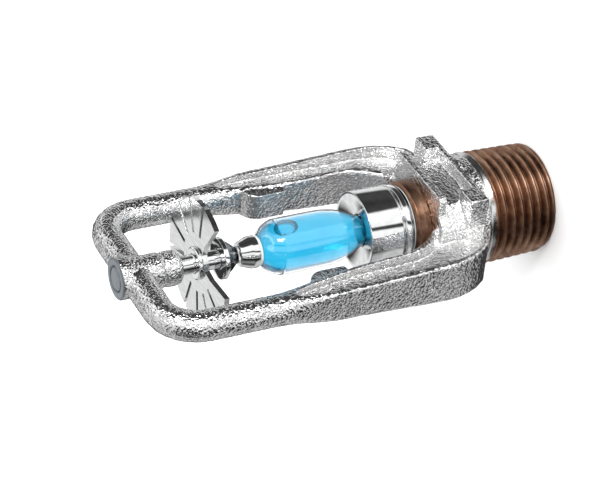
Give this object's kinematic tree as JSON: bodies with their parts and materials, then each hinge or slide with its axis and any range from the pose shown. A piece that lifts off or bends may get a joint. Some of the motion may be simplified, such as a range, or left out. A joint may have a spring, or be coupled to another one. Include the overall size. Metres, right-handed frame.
{
  "type": "fire sprinkler head",
  "caption": "Automatic fire sprinkler head with a cast yoke frame, glass bulb, slotted deflector inside the yoke and a threaded pipe inlet.",
  "frame": {"origin": "centre of the threaded inlet face, the lowest plane of the part", "axes": "+Z along the waterway axis towards the nose of the yoke; the two yoke arms lie at +X and -X; the wrench flats face +Y and -Y"},
  "size_m": [0.0412, 0.0246, 0.0848],
  "materials": {
    "cast_chrome": "bright plating over a rough casting",
    "polished_chrome": "mirror",
    "bare_bronze": "machined, unplated, reddish",
    "dark_steel": "dark machined",
    "clear_glass": "clear",
    "blue_liquid": "clear dyed liquid",
    "white_cushion": "matte",
    "seal_film": "satin film"
  },
  "bodies": {
    "frame": {"frame_shank": "bare_bronze", "frame_boss": "cast_chrome", "frame_yoke": "cast_chrome", "orifice_ring": "bare_bronze"},
    "train": {"seal_film": "seal_film", "disc_spring": "dark_steel", "valve_cap": "polished_chrome", "bulb_cup": "polished_chrome", "bulb_glass": "clear_glass", "bulb_liquid": "blue_liquid", "bulb_seal_tip": "clear_glass", "bulb_cushion_ring": "white_cushion", "bulb_seat": "polished_chrome"},
    "screw": {"pressure_cone": "dark_steel", "flange_washer": "polished_chrome", "load_screw": "polished_chrome", "deflector": "polished_chrome", "deflector_collar": "polished_chrome"}
  },
  "joints": [
    {"name": "train_slide", "type": "slide", "parent": "frame", "child": "train", "axis": [0, 0, 1], "range_m": [0, 0.0028]},
    {"name": "screw_turn", "type": "hinge", "parent": "train", "child": "screw", "pos_m": [0, 0, 0.07], "axis": [0, 0, 1], "range_deg": [0, 1266.3]}
  ],
  "couplings": [
    {"joint": "screw_turn", "follows": "train_slide", "rad_per_m": 7854}
  ]
}
